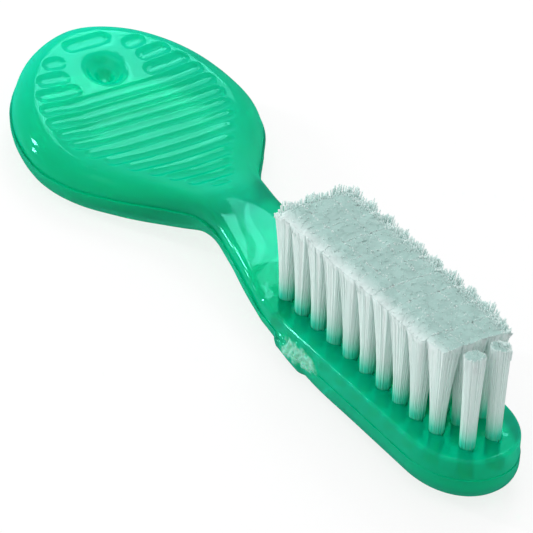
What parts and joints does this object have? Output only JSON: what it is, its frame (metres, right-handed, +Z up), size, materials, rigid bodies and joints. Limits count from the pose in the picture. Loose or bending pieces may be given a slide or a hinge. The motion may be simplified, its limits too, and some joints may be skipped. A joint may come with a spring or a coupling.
{
  "type": "toothbrush",
  "caption": "Short toothbrush with a ribbed egg-shaped thumb paddle, slim neck and slender head moulded in one translucent green piece, and white nylon tufts",
  "frame": {"origin": "middle of the bounding box at its base, the table the brush rests on", "axes": "+X along the brush from the thumb paddle to the head tip, +Y across it, +Z up with the bristles up. The brush lies as it rests on a table, on the underside of the head and of the paddle, so the head's face slopes by about 3 degrees."},
  "size_m": [0.0808, 0.0266, 0.0167],
  "materials": {
    "emerald_translucent": "gloss, translucent",
    "white_nylon": "satin filaments"
  },
  "bodies": {
    "root": {"handle_moulding": "emerald_translucent", "tuft_near_01": "white_nylon", "tuft_middle_01": "white_nylon", "tuft_far_01": "white_nylon", "tuft_near_02": "white_nylon", "tuft_middle_02": "white_nylon", "tuft_far_02": "white_nylon", "tuft_near_03": "white_nylon", "tuft_middle_03": "white_nylon", "tuft_far_03": "white_nylon", "tuft_near_04": "white_nylon", "tuft_middle_04": "white_nylon", "tuft_far_04": "white_nylon", "tuft_near_05": "white_nylon", "tuft_middle_05": "white_nylon", "tuft_far_05": "white_nylon", "tuft_near_06": "white_nylon", "tuft_middle_06": "white_nylon", "tuft_far_06": "white_nylon", "tuft_near_07": "white_nylon", "tuft_middle_07": "white_nylon", "tuft_far_07": "white_nylon", "tuft_near_08": "white_nylon", "tuft_middle_08": "white_nylon", "tuft_far_08": "white_nylon", "tuft_near_09": "white_nylon", "tuft_middle_09": "white_nylon", "tuft_far_09": "white_nylon", "tuft_near_10": "white_nylon", "tuft_middle_10": "white_nylon", "tuft_far_10": "white_nylon", "tuft_tip_near": "white_nylon", "tuft_tip_far": "white_nylon"}
  },
  "joints": []
}
